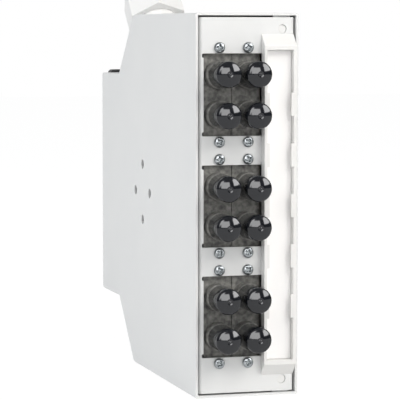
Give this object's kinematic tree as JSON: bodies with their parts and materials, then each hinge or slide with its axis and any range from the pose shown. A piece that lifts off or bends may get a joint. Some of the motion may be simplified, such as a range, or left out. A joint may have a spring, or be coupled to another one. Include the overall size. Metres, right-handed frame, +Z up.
{
  "type": "din rail fibre box",
  "caption": "Narrow rail-mounted fibre patching box: sheet-steel housing, pull-out front panel with capped duplex adapters, label holder, splice tray, cable gland and sprung rail clip.",
  "frame": {"origin": "centre of the flat bottom face on which the box can stand", "axes": "+X to the viewer's right when facing the front, +Y from the front towards the rail, +Z up"},
  "size_m": [0.0446, 0.1907, 0.1804],
  "materials": {
    "white_paint": "satin powder coat",
    "black_plastic": "matte",
    "cast_metal": "dull cast nickel",
    "white_ceramic": "ground",
    "black_vinyl": "gloss",
    "plated_steel": "bright zinc",
    "white_plastic": "smooth moulded",
    "white_card": "matte",
    "clear_plastic": "clear",
    "light_nylon": "moulded",
    "dark_rubber": "matte"
  },
  "bodies": {
    "housing": {"housing": "white_paint", "lower_guide_rail": "black_plastic", "upper_guide_rail": "black_plastic", "rail_clip_base": "black_plastic", "clip_screws": "plated_steel", "clip_nuts": "plated_steel", "latch_spring": "plated_steel", "gland_body": "light_nylon", "gland_dome_nut": "light_nylon", "gland_locknut": "light_nylon", "blanking_plug": "light_nylon", "plug_locknut": "light_nylon", "gland_gasket": "dark_rubber", "gland_seal": "dark_rubber", "plug_gasket": "dark_rubber"},
    "drawer": {"front_panel": "white_paint", "adapter_top_left": "cast_metal", "adapter_top_right": "cast_metal", "adapter_middle_left": "cast_metal", "adapter_middle_right": "cast_metal", "adapter_bottom_left": "cast_metal", "adapter_bottom_right": "cast_metal", "alignment_sleeves": "white_ceramic", "dust_cap_top_left_upper": "black_vinyl", "dust_cap_top_left_lower": "black_vinyl", "dust_cap_top_right_upper": "black_vinyl", "dust_cap_top_right_lower": "black_vinyl", "dust_cap_middle_left_upper": "black_vinyl", "dust_cap_middle_left_lower": "black_vinyl", "dust_cap_middle_right_upper": "black_vinyl", "dust_cap_middle_right_lower": "black_vinyl", "dust_cap_bottom_left_upper": "black_vinyl", "dust_cap_bottom_left_lower": "black_vinyl", "dust_cap_bottom_right_upper": "black_vinyl", "dust_cap_bottom_right_lower": "black_vinyl", "adapter_screws": "plated_steel", "label_holder": "white_plastic", "label_card": "white_card", "push_rivets": "white_plastic", "splice_tray": "white_plastic", "upper_splice_comb": "white_plastic", "lower_splice_comb": "white_plastic", "tray_lid": "clear_plastic", "tray_screws": "plated_steel"},
    "latch": {"rail_latch": "plated_steel"}
  },
  "joints": [
    {"name": "drawer_slide", "type": "slide", "parent": "housing", "child": "drawer", "axis": [0, -1, 0], "range_m": [0, 0.08]},
    {"name": "latch_slide", "type": "slide", "parent": "housing", "child": "latch", "axis": [0, 0, -1], "range_m": [0, 0.0035], "stiffness_N_per_m": 1500, "springref_m": -0.003, "deforming": ["latch_spring"]}
  ]
}
